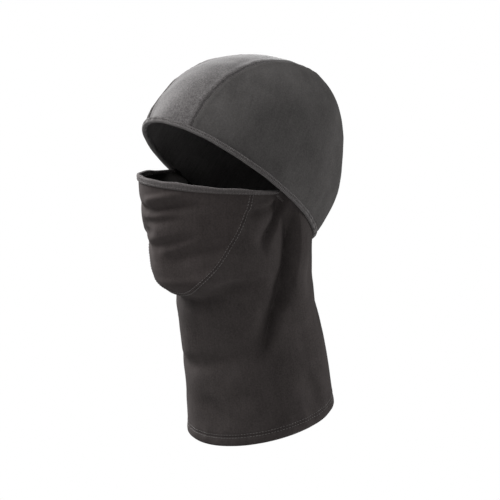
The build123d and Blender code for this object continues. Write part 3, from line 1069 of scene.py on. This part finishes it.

# ---- each piece, the CAD part that it hides, and its kind; the still pieces hang from the neck ----
hood_pieces = [
    (crown_center, "crown_center_panel", "crown_cloth"),
    (crown_left, "crown_left_panel", "hood_cloth"),
    (crown_right, "crown_right_panel", "hood_cloth"),
    (crown_stitches_left, "crown_seam_stitches_left", "thread"),
    (crown_stitches_right, "crown_seam_stitches_right", "thread"),
    (hood_binding, "hood_face_binding", "binding"),
    (hood_band_stitches, "hood_binding_stitches", "thread"),
]
mask_pieces = [
    (mask_front, "mask_front_panel", "mask_cloth"),
    (mask_binding, "mask_top_binding", "binding"),
    (mask_band_stitches, "mask_binding_stitches", "thread"),
    (neck_panel, "neck_panel", "neck_cloth"),
    (mask_stitches_left, "mask_seam_stitches_left", "thread"),
    (mask_stitches_right, "mask_seam_stitches_right", "thread"),
]
still_pieces = [
    (back_stitches, "neck_back_seam_stitches", "thread"),
    (hem_facing, "hem_facing", "neck_cloth"),
    (hem_stitches, "hem_coverstitch", "thread"),
    (tack_left, "hinge_bartack_left", "thread"),
    (tack_right, "hinge_bartack_right", "thread"),
    (care_label, "care_label", "label"),
]
for piece, node, slot in hood_pieces + mask_pieces + still_pieces:
    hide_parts(node)
for piece, _, _ in hood_pieces:
    follow_hood(piece)
for piece, _, _ in mask_pieces:
    follow_mask(piece)
for piece, _, _ in still_pieces:
    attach(piece, "neck")

# ---- camera, light and floor ----
AIM = Vector((0.0040, -0.0023, -0.1841))
CAMERA_AZIMUTH = radians(50)
CAMERA_RISE = radians(11)
CAMERA_DISTANCE = 2.6
CAMERA_LENS = 198


def aimed(holder, place, target):
    holder.location = place
    holder.rotation_euler = (Vector(target) - Vector(place)).to_track_quat("-Z", "Y").to_euler()
    bpy.context.scene.collection.objects.link(holder)


def outward(azimuth, rise, distance):
    """Place round the object: azimuth 0 is in front of the face, and 90 at the wearer's left."""
    away = Vector((sin(azimuth) * cos(rise), -cos(azimuth) * cos(rise), sin(rise)))
    return AIM + away * distance


camera_data = bpy.data.cameras.new("camera")
camera_data.lens = CAMERA_LENS
camera_data.sensor_width = 36
camera = bpy.data.objects.new("camera", camera_data)
aimed(camera, outward(CAMERA_AZIMUTH, CAMERA_RISE, CAMERA_DISTANCE), AIM)
bpy.context.scene.camera = camera


def softbox(name, azimuth, rise, distance, size, watts):
    """A square soft light that looks at the object: angles in degrees, distances in metres."""
    light = bpy.data.lights.new(name, "AREA")
    light.size = size
    light.energy = watts
    aimed(bpy.data.objects.new(name, light), outward(radians(azimuth), radians(rise), distance), AIM)


softbox("top_light", -28, 54, 1.6, 0.8, 24)
softbox("rim_light", -86, 20, 1.5, 0.6, 34)
softbox("back_light", 155, 5, 1.6, 0.7, 14)
softbox("side_light", 72, -3, 1.6, 0.5, 2.4)

# The backdrop is white, and gives less light than it shows, as a backdrop lit on its own does.
BACKDROP_LIGHT = 0.34
world = bpy.data.worlds.new("white_studio")
world.use_nodes = True
backdrop = world.node_tree.nodes["Background"]
backdrop.inputs["Color"].default_value = (1, 1, 1, 1)
light_path = world.node_tree.nodes.new("ShaderNodeLightPath")
strength = world.node_tree.nodes.new("ShaderNodeMapRange")
strength.inputs["To Min"].default_value = BACKDROP_LIGHT
world.node_tree.links.new(light_path.outputs["Is Camera Ray"], strength.inputs["Value"])
world.node_tree.links.new(strength.outputs["Result"], backdrop.inputs["Strength"])
bpy.context.scene.world = world
bpy.context.scene.view_settings.view_transform = "Standard"

FLOOR_Z = -0.75
FLOOR_RADIUS = 0.8
FLOOR_SIDES = 96
floor_mesh = bpy.data.meshes.new("studio_floor")
floor_turns = [2 * pi * i / FLOOR_SIDES for i in range(FLOOR_SIDES)]
floor_edge = [(FLOOR_RADIUS * cos(turn), FLOOR_RADIUS * sin(turn), FLOOR_Z) for turn in floor_turns]
floor_mesh.from_pydata(floor_edge, [], [list(range(FLOOR_SIDES))])
floor = bpy.data.objects.new("studio_floor", floor_mesh)
floor_paper = new_material("floor_paper", 0.9, 0.0)
set_inputs(floor_paper.node_tree.nodes["Principled BSDF"], {"Base Color": (0.5, 0.5, 0.5, 1)})
floor_mesh.materials.append(floor_paper)
bpy.context.scene.collection.objects.link(floor)
